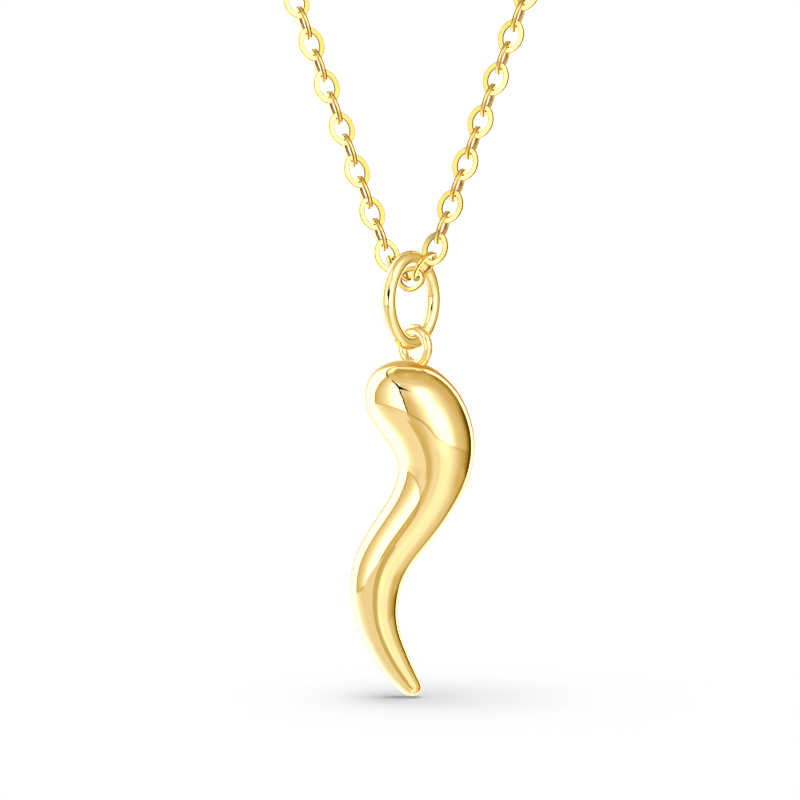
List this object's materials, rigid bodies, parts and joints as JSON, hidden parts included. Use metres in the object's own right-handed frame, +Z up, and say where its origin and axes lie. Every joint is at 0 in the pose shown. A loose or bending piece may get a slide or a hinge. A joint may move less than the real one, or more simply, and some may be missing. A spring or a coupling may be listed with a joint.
{
  "type": "cornicello horn pendant necklace",
  "caption": "Polished horn pendant hanging by its loop and an oval bail from a closed cable chain with a ring clasp.",
  "frame": {"origin": "top of the closed chain, where it lies on the nape", "axes": "+Z up along the hanging necklace, +X to the wearer's left as seen from the front, +Y towards the wearer"},
  "size_m": [0.0872, 0.0064, 0.2004],
  "materials": {
    "horn": "high polish, yellow gold plate",
    "bail": "high polish, yellow gold plate",
    "chain_left": "polished flattened links, yellow gold plate",
    "chain_right": "polished flattened links, yellow gold plate",
    "clasp": "polished, yellow gold plate"
  },
  "bodies": {
    "chain": {"chain_left": "chain_left", "chain_right": "chain_right", "clasp": "clasp"},
    "bail": {"bail": "bail"},
    "horn": {"horn": "horn"}
  },
  "joints": [
    {"name": "bail_swing", "type": "hinge", "parent": "chain", "child": "bail", "pos_m": [0.00021, -0.00003, -0.1657], "axis": [0.7547, -0.6561, 0], "range_deg": [-30, 30]},
    {"name": "horn_swing", "type": "hinge", "parent": "bail", "child": "horn", "pos_m": [0.00031, 0.00021, -0.17123], "axis": [0.7071, 0.7071, 0], "range_deg": [-60, 60]}
  ]
}
